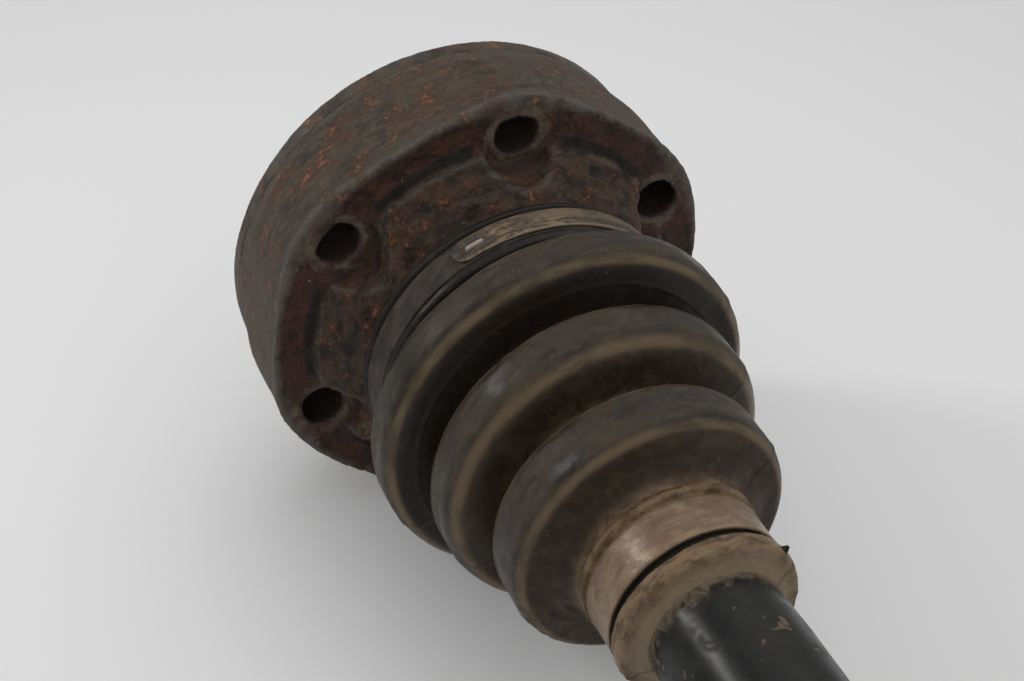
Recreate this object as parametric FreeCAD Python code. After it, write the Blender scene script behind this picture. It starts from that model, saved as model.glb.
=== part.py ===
import FreeCAD, Part
import math
import os
from FreeCAD import Vector

# Drive axle with a plunging six-ball joint at its inner end and a fixed six-ball
# joint at its outer end.  Lengths are millimetres, angles are degrees.
#
# The axle lies along +X and +Z is up.  The origin is the centre of the inner joint's
# mounting face.  Outlines of turned pieces are lists of (x, radius) corners.
# Azimuths are measured about the axle from +Z towards +Y.

# ---- shared layout -------------------------------------------------------------
BALL_COUNT = 6
BALL_STEP = 360 / BALL_COUNT
BALL_RADIUS = 9.0
BALL_PITCH = 28.5
HOLE_AZIMUTH = 8.27
TRACK_AZIMUTH = HOLE_AZIMUTH + BALL_STEP / 2
FIT = 0.08
GAP = 0.4
NEARLY_ONE = 0.99
EPS = 1.0

# ---- inner joint housing -------------------------------------------------------
RIM_REAR_RADIUS = 54.2
RIM_FRONT_RADIUS = 54.0
RIM_LOBE = 2.2
LOBE_SAMPLES = 12
CAP_THICKNESS = 1.2
GASKET_THICKNESS = 0.5
GASKET_HOLE_RADIUS = 6.0
RIM_BACK = CAP_THICKNESS + GASKET_THICKNESS
RIM_BAND = 5.5
LOBE_START = 10.0
RIM_FRONT = 31.2
RIM_EDGE = 2.4
BOLT_CIRCLE = 94.0
BOLT_HOLE_RADIUS = 5.25
BOLT_HOLE_CHAMFER = 0.7
SPOT_FACE_RADIUS = 8.6
SPOT_FACE_DEPTH = 0.5
HUB_RADIUS = 45.4
HUB_FLAT = 3.0
NOSE_START = 44.0
NOSE_END = 58.0
NOSE_RADIUS = 34.1
NOSE_BORE = 31.0
NOSE_LIP = 1.2
INNER_CENTRE = 15.5
INNER_TRACK_SLACK = 0.75
INNER_TRACK_END = 38.2

# ---- inner end cap -------------------------------------------------------------
CAP_RIM_RADIUS = 55.0
CAP_SKIRT = 4.5
DOME_RADIUS = 39.8
DOME_STEP = 7.0
DOME_DEPTH = 12.4
DOME_FLAT_RADIUS = 30.5

# ---- cages and races -----------------------------------------------------------
CAGE_OUTER = 31.8
CAGE_INNER = 26.4
CAGE_HALF_WIDTH = 13.5
WINDOW_SLACK = 0.15
WINDOW_SIDE_SLACK = 0.6
WINDOW_CORNER = 2.5
RACE_SPHERE = 26.0
RACE_HALF_WIDTH = 11.0

# ---- bar and its splines -------------------------------------------------------
SPLINE_TEETH = 30
SPLINE_TIP = 13.5
SPLINE_ROOT = 12.6
SPLINE_TIP_SHARE = 0.36
SPLINE_ROOT_SHARE = 0.64
SHAFT_END_PAST_RACE = 3.2
CIRCLIP_THICKNESS = 1.6
CIRCLIP_OUTER = 15.6
CIRCLIP_INNER = 11.9
CIRCLIP_OPENING = 16.0
NECK_RADIUS = 12.6
WASHER_THICKNESS = 2.0
WASHER_OUTER = 16.4
SEAT_RADIUS = 14.8
SHOULDER_LENGTH = 5.0
BAR_RADIUS = 15.4
BAR_TAPER = 18.0

# ---- inner boot and clamps -----------------------------------------------------
BOOT_WALL = 2.2
TONGUE_ARC = 60.0
INNER_SEAT_START = 44.6
INNER_SMALL_END = 139.5
LARGE_CLAMP_START = 47.4
LARGE_CLAMP_WIDTH = 8.4
LARGE_TONGUE_AZIMUTH = -29.0
BAND_THICKNESS = 0.8
LARGE_COLLAR_RADIUS = 36.6
SMALL_COLLAR_RADIUS = 19.0
SMALL_COLLAR_LENGTH = 16.0
SMALL_CLAMP_START = 125.2
SMALL_CLAMP_WIDTH = 11.0
SMALL_TONGUE_AZIMUTH = 150.0
INNER_CORNERS = ((62.4, 36.6), (64.2, 44.4), (75.4, 44.4), (77.6, 31.0),
                 (81.2, 31.0), (82.6, 38.0), (95.4, 38.0), (97.6, 26.0),
                 (102.0, 26.0), (103.2, 32.4), (116.2, 32.4), (121.5, 19.0))
INNER_ROUNDS = (2.0, 6.0, 6.0, 2.0, 2.0, 6.0, 6.0, 2.4, 2.4, 5.8, 5.8, 3.0)

# ---- outer joint ---------------------------------------------------------------
OUTER_CENTRE = 470.0
OUTER_TRACK_SLACK = 1.2
OUTER_TRACK_SWEEP = 42.0
BELL_SPHERE = 32.2
BELL_MOUTH = 13.5
BELL_SEAT_RADIUS = 42.6
BELL_SEAT_LENGTH = 16.0
BELL_RADIUS = 46.5
BELL_BACK = 24.0
BELL_CAVITY = 24.6
BELL_NECK_RADIUS = 27.5
BELL_NECK_START = 33.0
BELL_SHOULDER = 38.0
STUB_JOURNAL_RADIUS = 17.2
STUB_JOURNAL_LENGTH = 12.0
STUB_SPLINE_LENGTH = 34.0
STUB_TEETH = 33
STUB_SPLINE_TIP = 15.6
STUB_SPLINE_ROOT = 14.6
STUB_RELIEF_RADIUS = 10.6
STUB_RELIEF_LENGTH = 3.0
STUB_THREAD_RADIUS = 12.0
STUB_THREAD_LENGTH = 26.0
STUB_CENTRE_HOLE = 3.0
TONE_RING_RADIUS = 55.4
TONE_RING_WIDTH = 10.0
TONE_RING_START = 6.5
TONE_TEETH = 48
TONE_TOOTH_DEPTH = 3.4
TONE_WALL = 1.0
SHIELD_RADIUS = 44.0
SHIELD_THICKNESS = 1.0
SHIELD_FLANGE = 5.0

# ---- outer boot and clamps -----------------------------------------------------
OUTER_SMALL_START = 352.0
OUTER_SMALL_CLAMP_START = 355.5
OUTER_SMALL_CLAMP_WIDTH = 9.0
OUTER_SMALL_TONGUE_AZIMUTH = 60.0
OUTER_LARGE_COLLAR = 45.0
OUTER_LARGE_CLAMP_START = 459.5
OUTER_LARGE_CLAMP_WIDTH = 8.4
OUTER_LARGE_TONGUE_AZIMUTH = 30.0
OUTER_CORNERS = ((369.5, 19.0), (374.0, 30.5), (383.5, 30.5), (386.5, 23.0),
                 (391.0, 23.0), (394.0, 37.0), (404.5, 37.0), (407.5, 28.0),
                 (412.5, 28.0), (415.5, 43.5), (426.5, 43.5), (429.5, 33.5),
                 (434.5, 33.5), (437.5, 49.5), (449.0, 49.5), (453.0, 45.0))
OUTER_ROUNDS = (2.5, 4.5, 4.5, 2.2, 2.2, 5.0, 5.0, 2.4, 2.4, 5.2, 5.2, 2.4, 2.4, 5.4, 5.4, 1.6)

X_AXIS = Vector(1, 0, 0)
ORIGIN = Vector(0, 0, 0)


# ---- helpers -------------------------------------------------------------------
def around(x, radius, azimuth):
    """Point at a radius and azimuth about the axle."""
    turn = math.radians(azimuth)
    return Vector(x, radius * math.sin(turn), radius * math.cos(turn))


def turned(outline):
    """Solid of revolution of a closed (x, radius) outline."""
    corners = [Vector(x, 0, radius) for x, radius in outline]
    return Part.Face(Part.makePolygon(corners + corners[:1])).revolve(ORIGIN, X_AXIS, 360)


def tube(start, end, outer, inner):
    """Plain ring."""
    return turned([(start, inner), (start, outer), (end, outer), (end, inner)])


def rod(start, end, radius, azimuth=0.0, pitch=0.0):
    """Cylinder along the axle, at a pitch radius from it when one is given."""
    return Part.makeCylinder(radius, end - start, around(start, pitch, azimuth), X_AXIS)


def ring_of(make, count, first):
    """Compound of what make(azimuth) gives, evenly spaced about the axle."""
    return Part.makeCompound([make(first + 360 * number / count) for number in range(count)])


def prism(points, length):
    """Straight prism along +X of a closed outline of points in one plane."""
    return Part.Face(Part.makePolygon(points + points[:1])).extrude(X_AXIS * length)


def spline_prism(start, length, teeth, root, tip):
    """Splined cylinder with straight-sided teeth."""
    points = []
    step = 360 / teeth
    for tooth in range(teeth):
        centre = tooth * step
        for radius, share in ((root, -SPLINE_ROOT_SHARE), (tip, -SPLINE_TIP_SHARE),
                              (tip, SPLINE_TIP_SHARE), (root, SPLINE_ROOT_SHARE)):
            points.append(around(start, radius, centre + share * step / 2))
    return prism(points, length)


def rounded_path(corners, rounds):
    """Open wire of straight runs with a tangent arc at each inner corner."""
    points = [Vector(x, 0, radius) for x, radius in corners]
    edges = []
    last = points[0]
    for before, corner, after, radius in zip(points, points[1:], points[2:], rounds):
        back = (before - corner).normalize()
        ahead = (after - corner).normalize()
        half = back.getAngle(ahead) / 2
        reach = radius / math.tan(half)
        middle = (back + ahead).normalize() * (radius / math.sin(half) - radius)
        edges.append(Part.makeLine(last, corner + back * reach))
        last = corner + ahead * reach
        edges.append(Part.Arc(corner + back * reach, corner + middle, last).toShape())
    edges.append(Part.makeLine(last, points[-1]))
    return Part.Wire(edges)


def bellows(corners, rounds, collar_start, collar_end):
    """Rubber bellows of even wall, with a thicker collar that grips the bar."""
    outside = rounded_path(corners, rounds)
    section = outside.makeOffset2D(-BOOT_WALL, 0, True, True, False)
    folds = section.revolve(ORIGIN, X_AXIS, 360)
    collar = tube(collar_start, collar_end, SMALL_COLLAR_RADIUS - GAP, SEAT_RADIUS + GAP / 2)
    return folds.fuse(collar)


def save(node, shape):
    """Check one piece and write it to its own file."""
    solids = shape.Solids
    if not shape.isValid() or not solids:
        raise ValueError("bad shape: " + node)
    kept = solids[0] if len(solids) == 1 else Part.makeCompound(solids)
    kept.exportStep("parts/" + node + ".step")
    box = kept.BoundBox
    print(f"{node:28s} {len(solids)} solid {kept.Volume / 1000:9.2f} cm3 "
          f"x {box.XMin:7.1f} {box.XMax:7.1f}  r {max(-box.ZMin, box.ZMax):6.2f}")


# ---- inner joint ---------------------------------------------------------------
def lobed_outline(x, radius, lobe):
    """Closed smooth outline that swells by a lobe at each bolt hole."""
    samples = LOBE_SAMPLES * BALL_COUNT
    points = []
    for number in range(samples):
        azimuth = 360 * number / samples
        swell = (1 + math.cos(math.radians(BALL_COUNT * (azimuth - HOLE_AZIMUTH)))) / 2
        points.append(around(x, radius + lobe * swell, azimuth))
    curve = Part.BSplineCurve()
    curve.interpolate(points, PeriodicFlag=True)
    return Part.Wire(curve.toShape())


def inner_joint_housing():
    rim = Part.makeLoft([lobed_outline(RIM_BACK, RIM_REAR_RADIUS, 0.0),
                         lobed_outline(RIM_BAND, RIM_REAR_RADIUS, 0.0),
                         lobed_outline(LOBE_START, RIM_FRONT_RADIUS, RIM_LOBE),
                         lobed_outline(RIM_FRONT, RIM_FRONT_RADIUS, RIM_LOBE)], True, True)
    trim = RIM_FRONT_RADIUS + RIM_LOBE
    rim = rim.common(turned([(RIM_BACK, 0), (RIM_BACK, trim), (RIM_FRONT - RIM_EDGE, trim),
                             (RIM_FRONT, trim - RIM_EDGE), (RIM_FRONT, 0)]))
    hub = turned([(RIM_FRONT - EPS, 0), (RIM_FRONT - EPS, HUB_RADIUS),
                  (RIM_FRONT + HUB_FLAT, HUB_RADIUS), (NOSE_START, NOSE_RADIUS + NOSE_LIP),
                  (NOSE_START, NOSE_RADIUS), (NOSE_END, NOSE_RADIUS), (NOSE_END, 0)])
    pitch = BOLT_CIRCLE / 2
    spots = ring_of(lambda azimuth: rod(RIM_FRONT - SPOT_FACE_DEPTH, NOSE_END, SPOT_FACE_RADIUS,
                                        azimuth, pitch), BALL_COUNT, HOLE_AZIMUTH)
    holes = ring_of(lambda azimuth: rod(0, RIM_FRONT, BOLT_HOLE_RADIUS, azimuth, pitch),
                    BALL_COUNT, HOLE_AZIMUTH)
    mouths = ring_of(bolt_hole_mouth, BALL_COUNT, HOLE_AZIMUTH)
    tracks = ring_of(lambda azimuth: rod(0, INNER_TRACK_END, BALL_RADIUS + INNER_TRACK_SLACK,
                                         azimuth, BALL_PITCH), BALL_COUNT, TRACK_AZIMUTH)
    bore = turned([(0, 0), (0, CAGE_OUTER + GAP), (INNER_TRACK_END, CAGE_OUTER + GAP),
                   (NOSE_START, NOSE_BORE), (NOSE_END + EPS, NOSE_BORE), (NOSE_END + EPS, 0)])
    return rim.fuse(hub).cut([spots, holes, mouths, tracks, bore])


def bolt_hole_mouth(azimuth):
    """Chamfer at the front end of one bolt hole."""
    depth = 2 * BOLT_HOLE_CHAMFER
    front = RIM_FRONT - SPOT_FACE_DEPTH
    return Part.makeCone(BOLT_HOLE_RADIUS - BOLT_HOLE_CHAMFER, BOLT_HOLE_RADIUS + BOLT_HOLE_CHAMFER,
                         depth, around(front - depth + BOLT_HOLE_CHAMFER, BOLT_CIRCLE / 2, azimuth),
                         X_AXIS)


def inner_end_cap():
    wall = CAP_THICKNESS
    outline = [(0, DOME_RADIUS), (-DOME_STEP, DOME_RADIUS), (-DOME_DEPTH, DOME_FLAT_RADIUS),
               (-DOME_DEPTH, 0), (wall - DOME_DEPTH, 0), (wall - DOME_DEPTH, DOME_FLAT_RADIUS - wall / 2),
               (wall / 2 - DOME_STEP, DOME_RADIUS - wall), (wall, DOME_RADIUS - wall),
               (wall, CAP_RIM_RADIUS - wall / 2), (CAP_SKIRT, CAP_RIM_RADIUS - wall / 2),
               (CAP_SKIRT, CAP_RIM_RADIUS), (wall / 2, CAP_RIM_RADIUS), (0, CAP_RIM_RADIUS - wall / 2)]
    holes = ring_of(lambda azimuth: rod(-EPS, wall + EPS, BOLT_HOLE_RADIUS, azimuth, BOLT_CIRCLE / 2),
                    BALL_COUNT, HOLE_AZIMUTH)
    return turned(outline).cut(holes)


def inner_cap_gasket():
    ring = tube(CAP_THICKNESS, RIM_BACK, RIM_REAR_RADIUS - GAP, DOME_RADIUS)
    holes = ring_of(lambda azimuth: rod(0, RIM_BACK + EPS, GASKET_HOLE_RADIUS, azimuth,
                                        BOLT_CIRCLE / 2), BALL_COUNT, HOLE_AZIMUTH)
    return ring.cut(holes)


# ---- pieces both joints have ---------------------------------------------------
def ball(centre, number):
    place = around(centre, BALL_PITCH, TRACK_AZIMUTH + number * BALL_STEP)
    return Part.makeSphere(BALL_RADIUS, place)


def cage_window(centre, azimuth):
    """Rounded radial opening for one ball."""
    long = 2 * (BALL_RADIUS + WINDOW_SLACK)
    wide = 2 * (BALL_RADIUS + WINDOW_SIDE_SLACK)
    block = Part.makeBox(long, wide, CAGE_OUTER, Vector(-long / 2, -wide / 2, 0))
    uprights = [edge for edge in block.Edges if abs(edge.tangentAt(0).z) > NEARLY_ONE]
    block = block.makeFillet(WINDOW_CORNER, uprights)
    block.rotate(ORIGIN, X_AXIS, -azimuth)
    block.translate(Vector(centre, 0, 0))
    return block


def cage(centre):
    place = Vector(centre, 0, 0)
    shell = Part.makeSphere(CAGE_OUTER, place).cut(Part.makeSphere(CAGE_INNER, place))
    shell = shell.common(rod(centre - CAGE_HALF_WIDTH, centre + CAGE_HALF_WIDTH, CAGE_OUTER))
    return shell.cut(ring_of(lambda azimuth: cage_window(centre, azimuth), BALL_COUNT, TRACK_AZIMUTH))


def race(centre, tracks):
    """Inner race: a barrel with a splined bore, less its ball tracks."""
    place = Vector(centre, 0, 0)
    start = centre - RACE_HALF_WIDTH
    end = centre + RACE_HALF_WIDTH
    barrel = Part.makeSphere(RACE_SPHERE, place).common(rod(start, end, RACE_SPHERE))
    bore = spline_prism(start - EPS, end - start + 2 * EPS, SPLINE_TEETH, SPLINE_ROOT + FIT,
                        SPLINE_TIP + FIT)
    return barrel.cut([tracks, bore])


def straight_tracks(centre):
    reach = RACE_HALF_WIDTH + EPS
    return ring_of(lambda azimuth: rod(centre - reach, centre + reach, BALL_RADIUS + INNER_TRACK_SLACK,
                                       azimuth, BALL_PITCH), BALL_COUNT, TRACK_AZIMUTH)


def curved_track(centre, azimuth):
    """Arc-shaped ball track in a plane through the axle, about the joint's centre."""
    across = Vector(0, 1, 0)
    circle = Part.makeCircle(BALL_RADIUS + OUTER_TRACK_SLACK, Vector(0, 0, BALL_PITCH), X_AXIS)
    disc = Part.Face(Part.Wire(circle))
    disc.rotate(ORIGIN, across, -OUTER_TRACK_SWEEP)
    track = disc.revolve(ORIGIN, across, 2 * OUTER_TRACK_SWEEP)
    track.rotate(ORIGIN, X_AXIS, -azimuth)
    track.translate(Vector(centre, 0, 0))
    return track


def curved_tracks(centre):
    return ring_of(lambda azimuth: curved_track(centre, azimuth), BALL_COUNT, TRACK_AZIMUTH)


def circlip(start):
    """Open spring ring that holds a race on the bar."""
    ring = tube(start, start + CIRCLIP_THICKNESS, CIRCLIP_OUTER, CIRCLIP_INNER)
    gap = Part.makeBox(CIRCLIP_THICKNESS, CIRCLIP_OPENING / 2, CIRCLIP_OUTER,
                       Vector(start, -CIRCLIP_OPENING / 4, 0))
    return ring.cut(gap)


def dished_washer(start, direction):
    """Shallow conical spring washer between a race and the bar's shoulder."""
    lean = WASHER_THICKNESS / 2
    small = NECK_RADIUS + GAP
    outline = [(0, small), (direction * lean, WASHER_OUTER),
               (direction * WASHER_THICKNESS, WASHER_OUTER), (direction * lean, small)]
    return turned([(start + x, radius) for x, radius in outline])


def band_clamp(start, width, seat, tongue_azimuth):
    """Steel band with its free end lapped over it, from the given azimuth onwards."""
    outer = seat + BAND_THICKNESS
    band = tube(start, start + width, outer, seat)
    lap = Part.makePolygon([Vector(start, 0, outer), Vector(start, 0, outer + BAND_THICKNESS),
                            Vector(start + width, 0, outer + BAND_THICKNESS),
                            Vector(start + width, 0, outer), Vector(start, 0, outer)])
    tongue = Part.Face(lap).revolve(ORIGIN, X_AXIS, -TONGUE_ARC)
    tongue.rotate(ORIGIN, X_AXIS, -tongue_azimuth)
    return band.fuse(tongue).removeSplitter()


# ---- bar -----------------------------------------------------------------------
def axle_shaft():
    inner_end = INNER_CENTRE - RACE_HALF_WIDTH - SHAFT_END_PAST_RACE
    outer_end = OUTER_CENTRE + RACE_HALF_WIDTH + SHAFT_END_PAST_RACE
    inner_neck = INNER_CENTRE + RACE_HALF_WIDTH
    outer_neck = OUTER_CENTRE - RACE_HALF_WIDTH
    inner_seat = INNER_SMALL_END - SMALL_CLAMP_WIDTH * 2
    outer_seat = OUTER_SMALL_START + SMALL_CLAMP_WIDTH * 2
    body = turned([(inner_neck - EPS, 0), (inner_neck - EPS, NECK_RADIUS),
                   (inner_seat - SHOULDER_LENGTH, NECK_RADIUS), (inner_seat, SEAT_RADIUS),
                   (INNER_SMALL_END + EPS, SEAT_RADIUS), (INNER_SMALL_END + BAR_TAPER, BAR_RADIUS),
                   (OUTER_SMALL_START - BAR_TAPER, BAR_RADIUS), (OUTER_SMALL_START - EPS, SEAT_RADIUS),
                   (outer_seat, SEAT_RADIUS), (outer_seat + SHOULDER_LENGTH, NECK_RADIUS),
                   (outer_neck + EPS, NECK_RADIUS), (outer_neck + EPS, 0)])
    inner_spline = splined_end(inner_end, inner_neck, INNER_CENTRE - RACE_HALF_WIDTH - CIRCLIP_THICKNESS)
    outer_spline = splined_end(outer_neck, outer_end, OUTER_CENTRE + RACE_HALF_WIDTH)
    return body.fuse([inner_spline, outer_spline])


def splined_end(start, end, groove):
    """Splined length with a circlip groove."""
    teeth = spline_prism(start, end - start, SPLINE_TEETH, SPLINE_ROOT, SPLINE_TIP)
    return teeth.cut(tube(groove, groove + CIRCLIP_THICKNESS, SPLINE_TIP + EPS, CIRCLIP_INNER))


# ---- boots ---------------------------------------------------------------------
def inner_boot():
    corners = ((INNER_SEAT_START, LARGE_COLLAR_RADIUS),) + INNER_CORNERS
    corners += ((INNER_SMALL_END, SMALL_COLLAR_RADIUS),)
    return bellows(corners, INNER_ROUNDS, INNER_SMALL_END - SMALL_COLLAR_LENGTH, INNER_SMALL_END)


def outer_boot():
    end = OUTER_CENTRE - BELL_MOUTH + BELL_SEAT_LENGTH - EPS
    corners = ((OUTER_SMALL_START, SMALL_COLLAR_RADIUS),) + OUTER_CORNERS
    corners += ((end, OUTER_LARGE_COLLAR),)
    return bellows(corners, OUTER_ROUNDS, OUTER_SMALL_START, OUTER_SMALL_START + SMALL_COLLAR_LENGTH)


# ---- outer joint ---------------------------------------------------------------
def outer_joint_bell():
    centre = OUTER_CENTRE
    mouth = centre - BELL_MOUTH
    seat_end = mouth + BELL_SEAT_LENGTH
    shoulder = centre + BELL_SHOULDER
    journal_end = shoulder + STUB_JOURNAL_LENGTH
    spline_end = journal_end + STUB_SPLINE_LENGTH
    thread_start = spline_end + STUB_RELIEF_LENGTH
    thread_end = thread_start + STUB_THREAD_LENGTH
    body = turned([(mouth, 0), (mouth, BELL_SEAT_RADIUS), (seat_end, BELL_SEAT_RADIUS),
                   (seat_end, BELL_RADIUS), (centre + BELL_BACK, BELL_RADIUS),
                   (centre + BELL_NECK_START, BELL_NECK_RADIUS), (shoulder, BELL_NECK_RADIUS),
                   (shoulder, STUB_JOURNAL_RADIUS), (journal_end, STUB_JOURNAL_RADIUS),
                   (journal_end, 0)])
    tail = turned([(spline_end - EPS, 0), (spline_end - EPS, STUB_RELIEF_RADIUS),
                   (thread_start, STUB_RELIEF_RADIUS), (thread_start + EPS, STUB_THREAD_RADIUS),
                   (thread_end - EPS, STUB_THREAD_RADIUS), (thread_end, STUB_RELIEF_RADIUS),
                   (thread_end, STUB_CENTRE_HOLE), (thread_end - STUB_CENTRE_HOLE, 0)])
    teeth = spline_prism(journal_end - EPS, STUB_SPLINE_LENGTH + EPS, STUB_TEETH, STUB_SPLINE_ROOT,
                         STUB_SPLINE_TIP)
    cavity = Part.makeSphere(BELL_SPHERE, Vector(centre, 0, 0))
    cavity = cavity.common(rod(mouth - EPS, centre + BELL_CAVITY, BELL_SPHERE))
    entry = turned([(mouth - EPS, 0), (mouth - EPS, NOSE_BORE), (mouth + EPS, NOSE_BORE - EPS),
                    (mouth + EPS, 0)])
    return body.fuse([tail, teeth]).cut([cavity, entry, curved_tracks(centre)])


def abs_tone_ring():
    start = OUTER_CENTRE + TONE_RING_START
    end = start + TONE_RING_WIDTH
    ring = tube(start, end, TONE_RING_RADIUS, BELL_RADIUS + FIT)
    slots = ring_of(lambda azimuth: tone_slot(start + TONE_WALL, azimuth), TONE_TEETH, 0.0)
    return ring.cut(slots)


def tone_slot(start, azimuth):
    """Gap between two teeth of the tone ring."""
    wide = math.pi * TONE_RING_RADIUS / TONE_TEETH
    block = Part.makeBox(TONE_RING_WIDTH, wide, TONE_TOOTH_DEPTH + EPS,
                         Vector(start, -wide / 2, TONE_RING_RADIUS - TONE_TOOTH_DEPTH))
    block.rotate(ORIGIN, X_AXIS, -azimuth)
    return block


def outer_dust_shield():
    start = OUTER_CENTRE + BELL_NECK_START
    seat = BELL_NECK_RADIUS + FIT
    wall = SHIELD_THICKNESS
    return turned([(start, seat), (start, seat + wall), (start + SHIELD_FLANGE - wall, seat + wall),
                   (start + SHIELD_FLANGE - wall, SHIELD_RADIUS - wall),
                   (start, SHIELD_RADIUS - wall / 2), (start, SHIELD_RADIUS + wall / 2),
                   (start + SHIELD_FLANGE, SHIELD_RADIUS), (start + SHIELD_FLANGE, seat)])


# ---- whole axle ----------------------------------------------------------------
def build():
    save("inner_joint_housing", inner_joint_housing())
    save("inner_end_cap", inner_end_cap())
    save("inner_cap_gasket", inner_cap_gasket())
    save("inner_boot", inner_boot())
    save("inner_boot_large_clamp", band_clamp(LARGE_CLAMP_START, LARGE_CLAMP_WIDTH,
                                              LARGE_COLLAR_RADIUS + GAP, LARGE_TONGUE_AZIMUTH))
    save("inner_boot_small_clamp", band_clamp(SMALL_CLAMP_START, SMALL_CLAMP_WIDTH,
                                              SMALL_COLLAR_RADIUS + GAP, SMALL_TONGUE_AZIMUTH))
    save("outer_boot", outer_boot())
    save("outer_boot_large_clamp", band_clamp(OUTER_LARGE_CLAMP_START, OUTER_LARGE_CLAMP_WIDTH,
                                              OUTER_LARGE_COLLAR + GAP, OUTER_LARGE_TONGUE_AZIMUTH))
    save("outer_boot_small_clamp", band_clamp(OUTER_SMALL_CLAMP_START, OUTER_SMALL_CLAMP_WIDTH,
                                              SMALL_COLLAR_RADIUS + GAP, OUTER_SMALL_TONGUE_AZIMUTH))
    for number in range(BALL_COUNT):
        save(f"inner_ball_{number + 1}", ball(INNER_CENTRE, number))
        save(f"outer_ball_{number + 1}", ball(OUTER_CENTRE, number))
    save("inner_cage", cage(INNER_CENTRE))
    save("outer_cage", cage(OUTER_CENTRE))
    save("inner_race", race(INNER_CENTRE, straight_tracks(INNER_CENTRE)))
    save("outer_race", race(OUTER_CENTRE, curved_tracks(OUTER_CENTRE)))
    save("axle_shaft", axle_shaft())
    save("inner_race_circlip", circlip(INNER_CENTRE - RACE_HALF_WIDTH - CIRCLIP_THICKNESS))
    save("outer_race_circlip", circlip(OUTER_CENTRE + RACE_HALF_WIDTH))
    save("inner_dished_washer", dished_washer(INNER_CENTRE + RACE_HALF_WIDTH, 1))
    save("outer_dished_washer", dished_washer(OUTER_CENTRE - RACE_HALF_WIDTH, -1))
    save("outer_joint_bell", outer_joint_bell())
    save("abs_tone_ring", abs_tone_ring())
    save("outer_dust_shield", outer_dust_shield())


os.makedirs("parts", exist_ok=True)
build()
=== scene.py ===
import math

import bmesh
import bpy
import numpy as np
from mathutils import Matrix, Vector


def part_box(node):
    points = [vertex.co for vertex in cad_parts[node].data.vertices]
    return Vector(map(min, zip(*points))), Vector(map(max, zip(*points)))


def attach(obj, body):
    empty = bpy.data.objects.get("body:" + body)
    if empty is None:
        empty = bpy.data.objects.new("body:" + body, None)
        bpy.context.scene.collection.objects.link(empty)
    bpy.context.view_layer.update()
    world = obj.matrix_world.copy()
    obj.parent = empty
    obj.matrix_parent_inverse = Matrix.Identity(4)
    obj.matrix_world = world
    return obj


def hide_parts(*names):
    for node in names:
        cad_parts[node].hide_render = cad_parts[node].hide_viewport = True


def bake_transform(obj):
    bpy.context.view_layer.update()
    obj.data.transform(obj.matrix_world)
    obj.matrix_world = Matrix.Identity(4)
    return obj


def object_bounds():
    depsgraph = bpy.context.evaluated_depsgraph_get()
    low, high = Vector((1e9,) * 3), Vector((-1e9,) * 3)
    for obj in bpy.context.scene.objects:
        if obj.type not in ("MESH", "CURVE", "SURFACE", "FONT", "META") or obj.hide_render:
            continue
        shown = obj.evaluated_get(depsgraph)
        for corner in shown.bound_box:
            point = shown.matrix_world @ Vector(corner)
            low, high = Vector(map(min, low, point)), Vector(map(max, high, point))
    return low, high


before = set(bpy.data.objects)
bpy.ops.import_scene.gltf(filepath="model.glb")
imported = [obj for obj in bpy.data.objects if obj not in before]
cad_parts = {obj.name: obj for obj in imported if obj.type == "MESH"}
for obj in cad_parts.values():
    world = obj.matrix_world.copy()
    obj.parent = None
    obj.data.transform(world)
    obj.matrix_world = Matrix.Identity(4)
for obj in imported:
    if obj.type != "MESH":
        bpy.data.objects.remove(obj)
cad_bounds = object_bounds()

# The looks of the drive axle around its CAD frame.  Lengths are millimetres unless a
# name ends in _M; MM turns them into the metres that Blender and the frame use.
# The axle lies along +X, and azimuths are measured about it from +Z towards +Y.
MM = 0.001

# ---- camera and stage ----------------------------------------------------------
VIEW_AZIMUTH = 66.04
VIEW_ELEVATION = 40.30
VIEW_DISTANCE_M = 0.4727
VIEW_AIM_M = (0.0434, 0.0, -0.0021)
LENS = 70.54
SENSOR = 36.0
FLOOR_SIZE_M = 12.0
# Painted light: the floor is painted lightest round its centre point and darker further out.
FLOOR_CENTRE = (60.0, -40.0, -56.0)
FLOOR_PAINTED_LIT = (0.87, 0.885, 0.91, 1)
FLOOR_PAINTED_DIM = (0.57, 0.58, 0.60, 1)
SKY_COLOUR = (1.0, 0.98, 0.95, 1)
SKY_BRIGHT_SIDE = (0.10, 0.20, 0.95)
SKY_BRIGHT = 0.70
SKY_DIM = 0.12
LIGHT_DISTANCE_M = 1.6
LIGHT_AIM_M = (0.06, 0, 0)
# Name, azimuth, elevation, size in metres, watts, colour.
LIGHTS = (
    ("window", -42, 31, 0.34, 5.0, (1.0, 0.985, 0.965)),
    ("fill", -140, 60, 1.9, 3.6, (1.0, 0.99, 0.975)),
    ("front", 108, 62, 2.2, 3.2, (1.0, 0.99, 0.975)))

# ---- inner joint housing -------------------------------------------------------
HOLE_AZIMUTH = 8.27
HOLE_STEP = 60.0
HOLE_PITCH = 47.0
HOLE_RADIUS = 5.25
SPOT_RADIUS = 8.6
RIM_FRONT = 31.2
HOUSING_VOXEL = 0.76
CAP_RADIUS = 54.25
CAP_VOXEL = 0.55

# ---- clamps, bar and stub ------------------------------------------------------
BAND_WALL = 0.8
BAND_INSET = 0.35
BAND_SEGMENTS = 360
TONGUE_SWEEP = 80.0
TONGUE_OVAL_PLACE = 6.2
BAR_TEETH = 30
RACE_EDGES = (26.5, 459.0)
NECK, SEAT, BAR = 12.6, 14.8, 15.4
STUB_TEETH = 33
STUB_START = 508.0
BELL_VOXEL, RING_VOXEL, SHIELD_VOXEL = 0.68, 0.5, 0.45
JOURNAL, SPLINE_ROOT, RELIEF, THREAD_ROOT = 17.2, 14.6, 10.6, 10.9
THREAD_PITCH = 1.5
SHARP_ANGLE = math.radians(35)

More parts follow.
